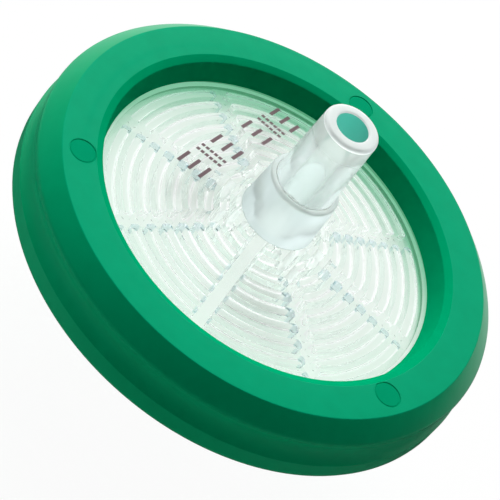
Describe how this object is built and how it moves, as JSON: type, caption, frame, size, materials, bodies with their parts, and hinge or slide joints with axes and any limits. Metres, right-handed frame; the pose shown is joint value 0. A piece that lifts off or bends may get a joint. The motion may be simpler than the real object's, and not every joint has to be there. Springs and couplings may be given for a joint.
{
  "type": "syringe filter",
  "caption": "Disc syringe filter: clear window over a white membrane, green soft ring, male luer slip nose above, female luer lock hub below.",
  "frame": {"origin": "centre of the inlet's mouth, the lowest face, on the luer axis", "axes": "+Z along the luer axis, from the inlet towards the outlet nose; X and Y along radial flow channels of the outlet housing, X through the middles of the inlet's lugs"},
  "size_m": [0.034, 0.034, 0.0242],
  "materials": {
    "clear_plastic": "clear moulded plastic",
    "membrane": "matt white microporous sheet",
    "green_ring": "satin soft moulded plastic"
  },
  "bodies": {
    "root": {"inlet_housing": "clear_plastic", "outlet_housing": "clear_plastic", "membrane": "membrane", "overmould_ring": "green_ring"}
  },
  "joints": []
}
